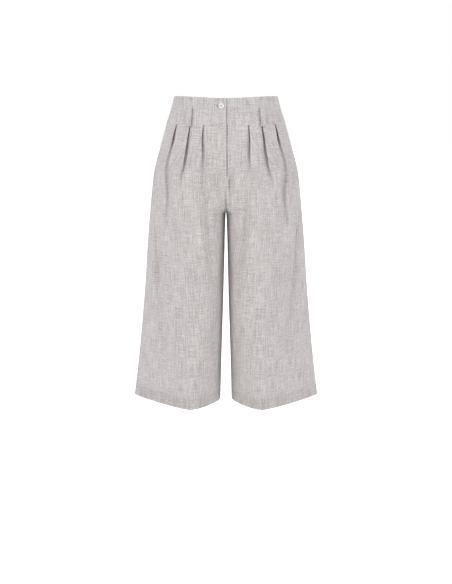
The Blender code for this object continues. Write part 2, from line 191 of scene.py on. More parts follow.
# The pleats, from the centre front outwards. line is how far the groove is from the side seam, lap how far
# the cloth under the folded edge runs back (negative once the fold has opened into a slope), valley how
# deep the groove is, crest how far the folded edge stands out, reach how far off the cloth starts to sink.
PLEATS = [
    table(
        "z     line lap  valley crest reach",
        [
            (-33, 155, 12, 4.5, 0.0, 6),
            (-45, 159, 12, 7.5, 0.3, 7),
            (-60, 164, 10, 9.6, 0.6, 8),
            (-78, 170.5, 6, 10.2, 1.0, 10),
            (-98, 178, 1, 8.8, 1.3, 14),
            (-122, 188, -4, 7.0, 1.3, 16),
            (-150, 199, -9, 5.8, 1.2, 18),
            (-190, 211, -13, 4.8, 1.0, 20),
            (-230, 221, -16, 4.0, 1.0, 22),
            (-270, 230, -18, 3.0, 0.8, 22),
            (-340, 245, -20, 1.8, 0.6, 22),
            (-460, 262, -22, 0.8, 0.3, 22),
            (-717.5, 270, -22, 0.0, 0.0, 22),
        ],
    ),
    table(
        "z     line lap  valley crest reach",
        [
            (-33, 121.5, 12, 4.5, 0.0, 6),
            (-45, 125, 12, 7.6, 0.3, 7),
            (-60, 128.5, 11, 10.0, 0.6, 8),
            (-85, 134.5, 8, 10.6, 1.2, 11),
            (-108, 139.5, 4, 9.2, 1.8, 14),
            (-130, 143, 0, 7.8, 2.0, 15),
            (-150, 145.5, -3, 5.8, 1.7, 15),
            (-170, 148.5, -6, 3.6, 1.1, 15),
            (-188, 151, -9, 1.9, 0.7, 16),
            (-250, 159, -17, 0.6, 0.3, 18),
            (-340, 170, -20, 0.4, 0.2, 18),
            (-460, 182, -22, 0.2, 0.0, 18),
            (-717.5, 199, -22, 0.0, 0.0, 18),
        ],
    ),
    table(
        "z     line lap  valley crest reach",
        [
            (-33, 81.5, 12, 4.5, 0.0, 6),
            (-45, 82, 11, 6.8, 0.4, 7),
            (-60, 84.5, 8, 9.6, 1.2, 7),
            (-70, 85.5, 5.5, 13.0, 2.0, 8),
            (-80, 86.5, 2, 7.2, 1.8, 10),
            (-92, 87.5, -1, 6.4, 1.8, 12),
            (-112, 88.5, -3, 6.0, 2.2, 15),
            (-132, 92, -5, 6.4, 2.8, 16),
            (-151, 98, -6, 6.4, 3.2, 17),
            (-190, 114, -8, 6.8, 3.8, 17),
            (-225, 119, -10, 6.0, 3.6, 17),
            (-270, 121, -14, 3.6, 2.4, 18),
            (-330, 122, -18, 1.8, 1.4, 18),
            (-460, 125, -22, 0.4, 0.3, 18),
            (-717.5, 128, -22, 0.0, 0.0, 18),
        ],
    ),
]
CREST_WIDTH = 11.0
FOLD_RADIUS = 0.68
OPEN_RADIUS = 9.0
FLAT_SPREAD = 1.5

# Soft folds: distance from the side seam and height at both ends, half width, and depth at the middle
# (negative is a trough). The first rows are the largest ones, which the CAD has too.
FRONT_FOLDS = table(
    "from_1 z_1   from_2 z_2   width depth",
    [
        (34, -185, 102, -500, 10, -17.0),
        (88, -340, 122, -640, 15, -7.0),
        (204, -165, 254, -420, 8, -7.0),
        (198, -170, 226, -390, 7, 3.0),
        (165, -160, 192, -390, 9, -4.5),
        (137, -165, 170, -380, 10, 4.0),
        (300, -300, 285, -460, 15, -2.4),
        (60, -250, 78, -520, 10, 2.0),
        (118, -430, 140, -690, 24, -1.4),
        (205, -420, 196, -700, 22, 1.2),
        (24, -470, 40, -700, 16, 1.2),
        (246, -480, 250, -700, 18, -1.2),
    ],
)
CENTRE_FOLDS = {
    -1.0: table(
        "from_1 z_1   from_2 z_2   width depth",
        [
            (12, -138, 12, -218, 8, -5.0),
            (28, -146, 32, -220, 6, 1.6),
        ],
    ),
    1.0: table(
        "from_1 z_1   from_2 z_2   width depth",
        [
            (11, -108, 12, -218, 7, -6.5),
            (7.4, -142, 6.6, -208, 2.4, -5.6),
            (22, -120, 24, -215, 5, 1.6),
        ],
    ),
}
BACK_FOLDS = table(
    "from_1 z_1   from_2 z_2   width depth",
    [
        (120, -215, 150, -520, 24, -5.0),
        (40, -240, 70, -600, 20, -4.5),
        (215, -215, 235, -330, 13, -3.0),
        (262, -232, 244, -300, 10, -2.4),
        (90, -180, 100, -430, 14, 1.6),
        (190, -300, 205, -600, 22, 2.0),
        (265, -300, 270, -560, 18, -1.8),
        (30, -480, 44, -700, 16, 1.4),
        (150, -500, 160, -700, 22, 1.4),
    ],
)


def slopes(x, y):
    """Slopes at each point for an interpolation that never overshoots (Fritsch and Carlson)."""
    step = np.diff(x)
    rise = np.diff(y) / step
    inner = np.zeros(len(x))
    same = rise[:-1] * rise[1:] > 0
    left, right = 2 * step[1:] + step[:-1], step[1:] + 2 * step[:-1]
    with np.errstate(divide="ignore", invalid="ignore"):
        mean = (left + right) / (left / rise[:-1] + right / rise[1:])
    inner[1:-1] = np.where(same, mean, 0.0)
    inner[0], inner[-1] = rise[0], rise[-1]
    return inner


def read(rows, name, z):
    """A column's value at a height, on a smooth curve through the table's rows."""
    x, y = rows["z"][::-1], rows[name][::-1]
    z = min(max(z, x[0]), x[-1])
    i = int(np.clip(np.searchsorted(x, z) - 1, 0, len(x) - 2))
    m = slopes(x, y)
    h = x[i + 1] - x[i]
    t = (z - x[i]) / h
    return (
        (1 + 2 * t) * (1 - t) ** 2 * y[i]
        + t * (1 - t) ** 2 * h * m[i]
        + t * t * (3 - 2 * t) * y[i + 1]
        + t * t * (t - 1) * h * m[i + 1]
    )


def smooth(t):
    """From 0 to 1, level at both ends."""
    t = np.clip(t, 0.0, 1.0)
    return t * t * (3 - 2 * t)


def bezier(a, b, c, d, count=90):
    """Points along a cubic Bezier curve."""
    t = np.linspace(0, 1, count)[:, None]
    a, b, c, d = (np.array(p, float) for p in (a, b, c, d))
    return (1 - t) ** 3 * a + 3 * (1 - t) ** 2 * t * b + 3 * (1 - t) * t * t * c + t**3 * d


class Section:
    """The level half loop at one height, for the front (face -1) or the back (face 1)."""

    def __init__(self, z, face):
        which = "front" if face < 0 else "back"
        half = read(FORM, "half", z)
        full = np.array([read(FORM, which + "_u", z), read(FORM, which + "_y", z)])
        k = read(FORM, which + "_k", z)
        if z < CROTCH:
            start = np.array([read(INSEAM, n, z) for n in "uy"])
            turn = math.radians(90)
            keep = read(INSEAM, which + "_k", z)
        else:
            centre = CENTRE_FRONT if face < 0 else CENTRE_BACK
            start = np.array([0, read(centre, "y", z)])
            turn = math.radians(read(centre, "turn", z))
            keep = read(centre, "k", z)
        pull = keep * np.linalg.norm(full - start)
        leave = np.array([math.cos(turn), face * math.sin(turn)])
        seam = np.array([half, face * SEAM_GAP / 2])
        level = min(pull, 0.8 * (full[0] - start[0]))
        inner = bezier(start, start + pull * leave, full - [level, 0], full)
        beside = [half, full[1] + (seam[1] - full[1]) * (1 - k)]
        outer = bezier(full, full + [k * (half - full[0]), 0], beside, seam)
        self.points = np.concatenate([inner, outer[1:]])
        steps = np.linalg.norm(np.diff(self.points, axis=0), axis=1)
        self.girth = np.concatenate([[0], np.cumsum(steps)])
        self.tangents = np.gradient(self.points, self.girth, axis=0)
        self.tangents[0], self.tangents[-1] = leave, (0, -face)
        self.tangents /= np.linalg.norm(self.tangents, axis=1)[:, None]
        self.face = face
        self.length = self.girth[-1]

    def at(self, girth, lift, along=None, out=None):
        """Places and outward normals of points at these girths and lifts, where the cloth heads (along, out).

        A girth below nothing is on the other half of the body.
        """
        along = np.ones(len(girth)) if along is None else along
        out = np.zeros(len(girth)) if out is None else out
        inside = np.abs(girth)
        place = np.stack([np.interp(inside, self.girth, self.points[:, i]) for i in (0, 1)], 1)
        tangent = np.stack([np.interp(inside, self.girth, self.tangents[:, i]) for i in (0, 1)], 1)
        tangent /= np.linalg.norm(tangent, axis=1)[:, None]
        other_side = girth < 0
        place[other_side, 0] *= -1
        tangent[other_side, 1] *= -1
        normal = np.stack([-self.face * tangent[:, 1], self.face * tangent[:, 0]], 1)
        return place + lift[:, None] * normal, along[:, None] * normal - out[:, None] * tangent


def pleat_points(rows, z, arcs=4):
    """(distance past the edge, lift) along one pleat: down beside the folded edge, under it and over it."""
    lap, valley, crest, reach = (read(rows, n, z) for n in ("lap", "valley", "crest", "reach"))
    depth = valley + crest
    widest = 0.98 * (lap * lap + depth * depth) / (4 * max(depth, 0.01))
    radius = min(FOLD_RADIUS + (OPEN_RADIUS - FOLD_RADIUS) * smooth(-lap / 20), widest)
    across = np.array([-lap, depth - 2 * radius])
    straight = math.sqrt(max(across @ across - 4 * radius * radius, 0))
    angle = math.atan2(across[1], across[0]) + math.atan2(2 * radius, straight)
    steps = np.linspace(0, angle, arcs + 1)
    spread = FLAT_SPREAD * (2 / arcs) * (1 - angle / math.pi) * np.arange(arcs + 1)
    sine, rise = radius * np.sin(steps), radius * (1 - np.cos(steps))
    first = np.stack([lap + sine - spread[::-1], rise - valley], 1)
    last = np.stack([spread - sine[::-1], crest - rise[::-1]], 1)
    foot = min(lap, 0.0)
    into = [(foot - reach, 0.0), (foot - 0.5 * reach, -0.42 * valley), (foot - 0.2 * reach, -0.9 * valley)]
    over = [(0.45 * CREST_WIDTH, 0.75 * crest), (CREST_WIDTH, 0.25 * crest)]
    return np.concatenate([into, first, last, over])


def spline_weights(points, count):
    """Weights of a clamped cubic B-spline's control points at evenly spread places along it."""
    knots = np.concatenate([[0] * 3, np.arange(points - 2), [points - 3] * 3]).astype(float)
    t = np.linspace(0, points - 3, count)
    t[-1] -= 1e-9
    basis = ((t[:, None] >= knots[:-1]) & (t[:, None] < knots[1:])).astype(float)
    for degree in (1, 2, 3):
        low, high = knots[degree:-1] - knots[: -degree - 1], knots[degree + 1 :] - knots[1:-degree]
        with np.errstate(divide="ignore", invalid="ignore"):
            a = np.where(low > 0, (t[:, None] - knots[: -degree - 1]) / low, 0)
            b = np.where(high > 0, (knots[degree + 1 :] - t[:, None]) / high, 0)
        basis = a * basis[:, :-1] + b * basis[:, 1:]
    return basis


LEAD = 8
REST = 12
PLEAT_POINTS = 15
FRONT_POINTS = LEAD + 3 * PLEAT_POINTS + REST
FRONT_COLUMNS = 168
FRONT_WEIGHTS = spline_weights(FRONT_POINTS, FRONT_COLUMNS)
GRAIN_COLUMN = {-1: 76, 1: -1}


def front_path(z, length):
    """(girth, lift) of every column of a front at one height."""
    pleats = []
    for rows in PLEATS:
        opened = max(-read(rows, "lap", z), 0.0)
        pleats.append(pleat_points(rows, z) + [length - read(rows, "line", z) + opened, 0])
    start = pleats[0][0, 0]
    lead = np.stack([np.linspace(0, start, LEAD + 1)[:-1], np.zeros(LEAD)], 1)
    last = pleats[-1][-1, 0]
    rest = last + (length - last) * np.arange(1, REST + 1) / REST
    polygon = np.concatenate([lead, *pleats, np.stack([rest, np.zeros(REST)], 1)])
    return FRONT_WEIGHTS @ polygon


def fold_lift(folds, from_side, z):
    """How far the soft folds move the cloth at these distances from the side seam."""
    lift = np.zeros(len(from_side))
    for s1, z1, s2, z2, width, depth in zip(*folds.values(), strict=True):
        t = (z - z1) / (z2 - z1)
        if 0 < t < 1:
            middle = s1 + (s2 - s1) * t
            lift += depth * math.sin(math.pi * t) ** 1.5 * np.exp(-(((from_side - middle) / width) ** 2))
    return lift


def uneven(folds, seed, kept=2):
    """The same folds on the other leg: all but the first few shifted, and every depth a little changed."""
    rng = np.random.default_rng(seed)
    other = {name: column.copy() for name, column in folds.items()}
    count = len(other["z_1"]) - kept
    for name, spread in (("from_1", 5), ("from_2", 6), ("z_1", 14), ("z_2", 20)):
        other[name][kept:] += rng.uniform(-spread, spread, count)
    other["depth"] *= rng.uniform(0.85, 1.15, count + kept)
    return other


def rumple(seed, across, down, size_across, size_down):
    """Smooth uneven waves over a grid of cloth coordinates, in millimetres, from about -1 to 1."""
    rng = np.random.default_rng(seed)
    total = np.zeros(across.shape)
    for _ in range(14):
        turn = rng.normal(0, 0.35)
        wide, long = size_across * rng.uniform(0.7, 1.6), size_down * rng.uniform(0.7, 1.6)
        phase = rng.uniform(0, 2 * math.pi)
        slanted = across + turn * down * size_across / size_down
        total += np.sin(2 * math.pi * (slanted / wide + down / long) + phase)
    return total / math.sqrt(14)


def headings(girth, lift):
    """The direction of the path at each point, square to the seam at both ends."""
    path = np.stack([girth, lift], 1)
    step = np.diff(path, axis=0)
    step /= np.maximum(np.linalg.norm(step, axis=1), 1e-9)[:, None]
    head = np.concatenate([[[1, 0]], step[:-1] + step[1:], [[1, 0]]])
    return head / np.maximum(np.linalg.norm(head, axis=1), 1e-9)[:, None]


def mesh_object(name, points, faces, uv, paint, node=None):
    """A mesh in metres from points in millimetres, with the flat cut as its UV map, in metres too."""
    mesh = bpy.data.meshes.new(name)
    mesh.from_pydata((points * MM).tolist(), [], faces)
    if uv is not None:
        layer = mesh.uv_layers.new(name="cut")
        corners = np.empty(len(mesh.loops), np.int32)
        mesh.loops.foreach_get("vertex_index", corners)
        layer.data.foreach_set("uv", (uv[corners] * MM).ravel().astype(np.float32))
    mesh.validate()
    mesh.shade_smooth()
    mesh.set_sharp_from_angle(angle=math.radians(50))
    made = bpy.data.objects.new(name, mesh)
    bpy.context.scene.collection.objects.link(made)
    made.data.materials.append(paint)
    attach(made, "root")
    if node:
        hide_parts(node)
    return made


def wall(name, outer, inner, uv, paint):
    """A closed wall between two grids of points, each rows by columns by three, in the solid's place."""
    rows, columns = outer.shape[:2]
    index = np.arange(rows * columns).reshape(rows, columns)
    other = index + rows * columns

    def quads(grid):
        return np.stack([grid[:-1, :-1], grid[:-1, 1:], grid[1:, 1:], grid[1:, :-1]], -1).reshape(-1, 4)

    rim = np.concatenate([index[:-1, 0], index[-1, :-1], index[:0:-1, -1], index[0, :0:-1]])
    ahead = np.roll(rim, -1)
    shift = rows * columns
    sides = np.stack([rim, rim + shift, ahead + shift, ahead], -1)
    faces = np.concatenate([quads(index), quads(other)[:, ::-1], sides])
    points = np.concatenate([outer.reshape(-1, 3), inner.reshape(-1, 3)])
    a, b, c = (outer[1, 1], outer[1, 2], outer[2, 1])
    facing = np.cross(b - a, c - a) @ (outer[1, 1] - inner[1, 1])
    faces = faces if facing < 0 else faces[:, ::-1]
    both = np.concatenate([uv.reshape(-1, 2)] * 2)
    return mesh_object(name, points, faces.tolist(), both, paint, name)


def rounded(distance, radius, least=0.2):
    """Share of the thickness left near an edge, so that the edge is round."""
    t = np.clip(1 - distance / radius, 0, 1)
    return np.maximum(np.sqrt(1 - t * t), least)


def panel_rows():
    """Heights from the waist seam to the hem, closer together where the cloth turns fast."""
    rows = [BAND_FOOT + SEAM_TUCK, BAND_FOOT, BAND_FOOT - 0.4]
    rows += list(np.arange(BAND_FOOT - 2.5, -202, -3.0))
    rows += list(np.arange(-204, -262, -2.0))
    rows += list(np.arange(-264, HEM + HEM_DEPTH + 3, -5.0))
    rows += list(HEM + np.array([31.5, 30.2, 29, 27, 23, 18, 12, 7, 4, 2.2, 1.1, 0.4, 0.0]))
    return rows


def leg_panel(name, side, face, folds, seed, paint):
    """A front or a back: its sections stacked, the cloth doubled where the hem is turned up."""
    rows = panel_rows()
    girths, lifts, sections = [], [], []
    for z in rows:
        section = Section(z, face)
        if face < 0:
            girth, lift = front_path(z, section.length).T
        else:
            girth = np.linspace(0, section.length, 110)
            lift = np.zeros(110)
        girths.append(girth)
        lift = lift + fold_lift(folds, section.length - girth, z)
        if face < 0:
            lift = lift + fold_lift(CENTRE_FOLDS[side], girth, z)
        lifts.append(lift)
        sections.append(section)
    girth, lift = np.array(girths), np.array(lifts)
    length = np.array([s.length for s in sections])[:, None]
    z = np.array(rows)[:, None]
    from_side, from_edge = length - girth, girth

    # Small unevenness that dies out at the seams
    calm = smooth(from_side / 30) * smooth(from_edge / 30) * smooth((BAND_FOOT - z) / 60)
    lift = lift + 0.55 * calm * rumple(seed, from_side, z + 0 * from_side, 46, 210)
    lift = lift + 0.16 * calm * rumple(seed + 1, from_side, z + 0 * from_side, 15, 60)

    near = smooth(1 - girth / FLY_REACH)
    fly = smooth((z - FLY_FOOT) / 25.0) if face < 0 else 0 * z
    lift = lift + fly * (FLY_RISE if side == RIGHT else FLY_SINK) * near
    above = smooth((z - CROTCH) / 10)
    lift = lift - above * (1 - fly) * SEAM_GROOVE * smooth(1 - girth / SEAM_GROOVE_WIDTH)
    if side == LEFT:
        flatter = 1 - 0.45 * np.exp(-(((z + 88) / 26) ** 2))
        lift = lift - fly * flatter * FLY_GROOVE * smooth(1 - girth / FLY_GROOVE_WIDTH)
    centre = side * FLY_EDGE * fly
    girth = girth + centre * near

    # The straight grain runs down the middle of the leg and, above the fork, beside the centre seam
    steps = np.hypot(np.diff(girth, axis=1), np.diff(lift, axis=1))
    lengths = np.concatenate([0 * z, np.cumsum(steps, axis=1)], axis=1)
    grain = lengths[:, GRAIN_COLUMN[face]].copy()
    above_fork = z[:, 0] > FLY_FOOT
    grain[above_fork] = grain[~above_fork][0]

    outer, inner, uv = [], [], []
    for i, level in enumerate(rows):
        head = headings(girth[i], lift[i])
        place, normal = sections[i].at(girth[i], lift[i], head[:, 0], head[:, 1])
        along = lengths[i]
        open_edge = float(fly[i, 0]) if face < 0 else 0.0
        round_side = np.maximum(rounded(along, 0.8), 1 - open_edge) * rounded(along[-1] - along, 0.3, 0.7)
        over_hem = level - HEM
        doubled = smooth((HEM_DEPTH + 0.8 - over_hem) / 1.6)
        thick = CLOTH + (HEM_CLOTH - CLOTH) * doubled
        ends = rounded(over_hem, HEM_CLOTH / 2)
        dimple = 0.25 * math.exp(-(((over_hem - HEM_DEPTH + 1.5) / 1.3) ** 2))
        middle = CLOTH / 2 - thick / 2
        half = thick / 2 * round_side * ends
        for grid, out in ((outer, middle + half - dimple), (inner, middle - half)):
            points = place + out[:, None] * normal
            if level > CROTCH and grid is inner:
                points[:, 0] -= max(points[0, 0] - centre[i, 0], 0) * smooth(1 - along / 5)
            points[:, 0] = np.maximum(points[:, 0], centre[i])
            grid.append(np.column_stack([side * points[:, 0], points[:, 1], np.full(len(points), level)]))
        uv.append(np.column_stack([side * (along - grain[i]), np.full(len(along), level)]))
    return wall(name, np.array(outer), np.array(inner), np.array(uv), paint)


# Materials


def new_material(name):
    made = bpy.data.materials.new(name)
    made.use_nodes = True
    return made, made.node_tree.nodes, made.node_tree.links


def colour_between(nodes, links, factor, first, second):
    """A colour that runs from the first to the second as the factor goes from 0 to 1."""
    mix = nodes.new("ShaderNodeMix")
    mix.data_type = "RGBA"
    mix.inputs["A"].default_value = first
    mix.inputs["B"].default_value = second
    links.new(factor, mix.inputs["Factor"])
    return mix.outputs["Result"]


def add_bump(nodes, links, height, strength, distance):
    """Relief on the material's surface, its distance in metres."""
    bump = nodes.new("ShaderNodeBump")
    bump.inputs["Strength"].default_value = strength
    bump.inputs["Distance"].default_value = distance
    links.new(height, bump.inputs["Height"])
    links.new(bump.outputs["Normal"], nodes["Principled BSDF"].inputs["Normal"])


def by_camera_ray(nodes, links, unseen, seen):
    """One value for what the camera sees directly and another for all other light."""
    path = nodes.new("ShaderNodeLightPath")
    either = nodes.new("ShaderNodeMapRange")
    either.inputs["To Min"].default_value = unseen
    either.inputs["To Max"].default_value = seen
    links.new(path.outputs["Is Camera Ray"], either.inputs["Value"])
    return either


def linen_material(name="linen_cloth"):
    """Plain-weave linen: pale warp and weft with slubs along both, a mottled cast and a fine weave bump."""
    made, nodes, links = new_material(name)
    shader = nodes["Principled BSDF"]
    shader.inputs["Roughness"].default_value = 0.88
    shader.inputs["Specular IOR Level"].default_value = 0.25
    shader.inputs["Sheen Weight"].default_value = 0.12
    shader.inputs["Sheen Roughness"].default_value = 0.5

    cut = nodes.new("ShaderNodeUVMap")
    cut.uv_map = "cut"

    def on_cut(texture, scale):
        mapping = nodes.new("ShaderNodeMapping")
        mapping.inputs["Scale"].default_value = (*scale, 1)
        links.new(cut.outputs["UV"], mapping.inputs["Vector"])
        texture.inputs["Scale"].default_value = 1.0
        links.new(mapping.outputs["Vector"], texture.inputs["Vector"])
        return texture.outputs["Fac"]

    def noise(scale, detail, rough=0.5):
        texture = nodes.new("ShaderNodeTexNoise")
        texture.noise_dimensions = "2D"
        texture.inputs["Detail"].default_value = detail
        texture.inputs["Roughness"].default_value = rough
        return on_cut(texture, scale)

    def math_node(operation, a, b):
        node = nodes.new("ShaderNodeMath")
        node.operation = operation
        for socket, value in zip(node.inputs, (a, b)):
            if hasattr(value, "is_linked"):
                links.new(value, socket)
            else:
                socket.default_value = value
        return node.outputs["Value"]

    warp_slub = noise((420, 22), 2.0, 0.6)
    weft_slub = noise((30, 420), 2.0, 0.6)
    fleck = noise((330, 330), 1.0)
    cloud = noise((18, 9), 1.5)
    total = math_node("SUBTRACT", warp_slub, 0.5)
    for texture, share in ((weft_slub, 0.75), (fleck, 0.8), (cloud, 0.22)):
        total = math_node("ADD", total, math_node("MULTIPLY", math_node("SUBTRACT", texture, 0.5), share))
    shade = math_node("ADD", total, 0.5)
    thread_colour = colour_between(nodes, links, shade, (0.350, 0.321, 0.317, 1), (0.785, 0.741, 0.735, 1))

    # Painted shade: the colour is darkened over the turned-up hem, standing in for the doubled cloth letting
    # less light through
    place = nodes.new("ShaderNodeSeparateXYZ")
    links.new(cut.outputs["UV"], place.inputs["Vector"])
    hem = nodes.new("ShaderNodeMapRange")
    hem.inputs["From Min"].default_value = (HEM + HEM_DEPTH + 1) * MM
    hem.inputs["From Max"].default_value = (HEM + HEM_DEPTH - 3) * MM
    links.new(place.outputs["Y"], hem.inputs["Value"])
    # Painted shade over the hem band: the thread colour multiplied by 0.93
    hem_painted_shade = nodes.new("ShaderNodeMix")
    hem_painted_shade.data_type = "RGBA"
    hem_painted_shade.blend_type = "MULTIPLY"
    hem_painted_shade.inputs["B"].default_value = (0.93, 0.93, 0.93, 1)
    links.new(hem.outputs["Result"], hem_painted_shade.inputs["Factor"])
    links.new(thread_colour, hem_painted_shade.inputs["A"])
    links.new(hem_painted_shade.outputs["Result"], shader.inputs["Base Color"])

    # Plain weave: threads pass over and under each other, 14 to the centimetre
    def threads(scale):
        wave = nodes.new("ShaderNodeTexWave")
        wave.bands_direction = "X" if scale[0] else "Y"
        wave.inputs["Distortion"].default_value = 0.0
        return on_cut(wave, scale)

    weave = math_node("MULTIPLY", threads((220, 0)), threads((0, 220)))
    height = math_node("ADD", weave, math_node("MULTIPLY", total, 0.8))
    add_bump(nodes, links, height, 0.35, 0.0003)
    return made


# Waistband


def waist_line(z, x):
    """The band's top edge dips a little at centre front and centre back."""
    share = (z - BAND_FOOT) / (BAND_TOP - BAND_FOOT)
    return z - WAIST_DIP * share * np.cos(np.clip(x / 126.0, -1, 1) * math.pi / 2) ** 2


def band_heights():
    """Heights up the band, closer together at its edges."""
    foot, top = BAND_FOOT, BAND_TOP
    near = np.array([0.0, 0.25, 0.6, 1.2, 2.4])
    return np.concatenate([foot + near, np.linspace(foot + 4, top - 4, 42), (top - near)[::-1]])


def pull(girth, z):
    """How the cloth of the lapping end lies round the fastened button."""
    across, up = girth + BUTTON_X, z - BUTTON_Z
    dent = -0.8 * np.exp(-(np.hypot(across, up) ** 2) / 64)
    round_it, turn = np.hypot(across - 4, up - 2), np.arctan2(up - 2, 4 - across)
    ring = -7.0 * np.exp(-(((round_it - 13.5) / 2.6) ** 2)) * np.exp(-(((turn - 1.3) / 0.8) ** 2))
    crease = -0.6 * np.exp(-(((up + 0.45 * (across - 9)) / 1.4) ** 2)) * np.exp(-(((across - 14) / 7.0) ** 2))
    return dent + ring + crease


def band_wall(name, face, side, girths, seed, paint, sink=None):
    """A piece of waistband: girths gives its columns at a height, sink how far they lie behind the form."""
    outer, inner, uv = [], [], []
    heights = band_heights()
    for z in heights:
        section = Section(z, face)
        girth = girths(z, section.length)
        lift = np.full(len(girth), BAND_SINK) if sink is None else sink(girth)
        if name == "waistband_right":
            lift = lift + pull(girth, z) + FLY_RISE * smooth(1 - girth / FLY_REACH)
        head = headings(girth, lift)
        place, normal = section.at(girth, lift, head[:, 0], head[:, 1])
        edge = np.minimum(girth - girth[0], girth[-1] - girth)
        upper = rounded(BAND_TOP - z, BAND_CLOTH / 2)
        lower = rounded(z - heights[0], 0.15, 0.75)
        half = BAND_CLOTH / 2 * upper * lower * rounded(edge, 0.9)
        ripple = 0.12 * rumple(seed, girth, z + 0 * girth, 38, 60) * smooth(edge / 12)
        for grid, out in ((outer, half + ripple), (inner, ripple - half)):
            points = place + out[:, None] * normal
            level = waist_line(z, points[:, 0])
            grid.append(np.column_stack([side * points[:, 0], points[:, 1], level]))
        uv.append(np.column_stack([side * girth, np.full(len(girth), z)]))
    return wall(name, np.array(outer), np.array(inner), np.array(uv), paint)


def near_edge(start):
    """Places close together beside an edge."""
    return start + np.array([0.0, 0.25, 0.6, 1.1, 2.0])


def right_band_girths(z, length):
    """The lapping end of the band has a rounded top corner."""
    drop = max(z - (BAND_TOP - BAND_CORNER), 0.0)
    start = BAND_CORNER - math.sqrt(BAND_CORNER**2 - drop**2) - (FLY_EDGE - SEAM_GAP / 2)
    near_button = np.linspace(start + 3, 36, 34)
    rest = np.linspace(38, length - 4, 56)
    return np.concatenate([near_edge(start), near_button, rest, length - near_edge(0)[::-1]])


def left_band_girths(z, length):
    """The other end runs on behind it: the step comes just past the lapping edge."""
    step = np.linspace(0.8, 6, 26)
    parts = [near_edge(-UNDERLAP), np.linspace(-UNDERLAP + 4, 0, 12), step, [7.5, 9.5, 11.2]]
    return np.concatenate([*parts, np.linspace(13, length - 4, 64), length - near_edge(0)[::-1]])


def underlap_sink(girth):
    """How far the underlap and the end beside it lie behind the form."""
    step = 1 - smooth((girth - FLY_EDGE - 0.2) / 2.2)
    return BAND_SINK + UNDERLAP_SINK * step + FLY_SINK * smooth(1 - girth / FLY_REACH)


def back_band_girths(z, length):
    """From one side seam right round to the other."""
    half = np.concatenate([np.linspace(0, length - 4, 66)[1:], length - near_edge(0)[::-1]])
    return np.concatenate([-half[::-1], [0], half])


def make_band(paint):
    return {
        "waistband_right": band_wall("waistband_right", -1, RIGHT, right_band_girths, 31, paint),
        "waistband_left": band_wall("waistband_left", -1, LEFT, left_band_girths, 32, paint, underlap_sink),
        "waistband_back": band_wall("waistband_back", 1, LEFT, back_band_girths, 33, paint),
    }


# Fly, loops, button, stitches


def make_shield(paint):
    """The strip behind the fly opening."""
    outer, inner, uv = [], [], []
    for z in np.linspace(BAND_FOOT - SEAM_GAP, SHIELD_FOOT, 40):
        section = Section(z, -1)
        girth = np.linspace(SHIELD_INNER, SHIELD_OUTER, 22)
        place, normal = section.at(girth, np.full(22, SHIELD_DEPTH))
        half = CLOTH / 2 * rounded(np.minimum(girth - SHIELD_INNER, SHIELD_OUTER - girth), 0.6)
        for grid, out in ((outer, half), (inner, -half)):
            points = place + out[:, None] * normal
            grid.append(np.column_stack([points, np.full(22, z)]))
        uv.append(np.column_stack([girth, np.full(22, z)]))
    return wall("fly_shield", np.array(outer), np.array(inner), np.array(uv), paint)


def loop_frame(z, face, girth, lean):
    """The place on the band, the outward normal and the way across at a loop, at one height."""
    section = Section(max(z, BAND_FOOT), face)
    place, normal = section.at(np.full(1, girth), np.full(1, 0.0))
    across = np.array([normal[0, 1], -normal[0, 0]]) * (-face)
    return place[0] + lean * across, normal[0], across


def make_loop(name, face, side, girth, paint):
    """A belt loop: tacked flat at the top of the band, standing off below, tacked again at its foot."""
    flat = BAND_SINK + BAND_CLOTH / 2 + LOOP_CLOTH / 2 - 0.6
    off = flat + LOOP_STANDOFF
    path = [
        (BAND_TOP - 0.8, flat),
        (BAND_TOP - 6, flat),
        (LOOP_TACK + 6, flat),
        (LOOP_TACK + 1, flat),
        (LOOP_TACK - 1, flat + 0.2),
        (LOOP_TACK - 5, off - 1.5),
        (LOOP_TACK - 10, off),
        (LOOP_TACK - 18, off + 0.3),
        (LOOP_FOOT + 18, off + 0.3),
        (LOOP_FOOT + 8, off),
        (LOOP_FOOT + 2, off - 0.3),
        (LOOP_FOOT - 0.6, off - 1.6),
        (LOOP_FOOT - 0.4, flat + 1.5),
        (LOOP_FOOT + 2, flat + 0.7),
        (LOOP_FOOT + 5, flat + 0.7),
    ]
    line = spline_weights(len(path), 90) @ np.array(path)
    heading = np.gradient(line, axis=0)
    heading /= np.linalg.norm(heading, axis=1)[:, None]
    length = np.concatenate([[0], np.cumsum(np.linalg.norm(np.diff(line, axis=0), axis=1))])
    half = LOOP_WIDTH / 2
    edge = np.array([0, 0.2, 0.6, 1.2])
    columns = np.concatenate([-half + edge, np.linspace(-3.4, 3.4, 7), half - edge[::-1]])
    outer, inner, uv = [], [], []
    for (z, lift), (dz, dn), run in zip(line, heading, length, strict=True):
        free = smooth((lift - flat) / LOOP_STANDOFF)
        ends = rounded(min(run, length[-1] - run), 0.7)
        thick = LOOP_CLOTH / 2 * rounded(half - np.abs(columns), 0.7) * ends
        for grid, out in ((outer, thick), (inner, -thick)):
            row = []
            for across, shift in zip(columns, out, strict=True):
                level = z + shift * dn
                lean = LOOP_LEAN * free * (level - LOOP_FOOT) / (LOOP_TACK - LOOP_FOOT)
                place, normal, way = loop_frame(level, face, girth, lean)
                stand = lift - shift * dz - LOOP_TWIST * free * across
                point = place + across * way + stand * normal
                row.append((side * point[0], point[1], waist_line(level, point[0])))
            grid.append(row)
        uv.append([(across, -run) for across in columns])
    return wall(name, np.array(outer), np.array(inner), np.array(uv), paint)


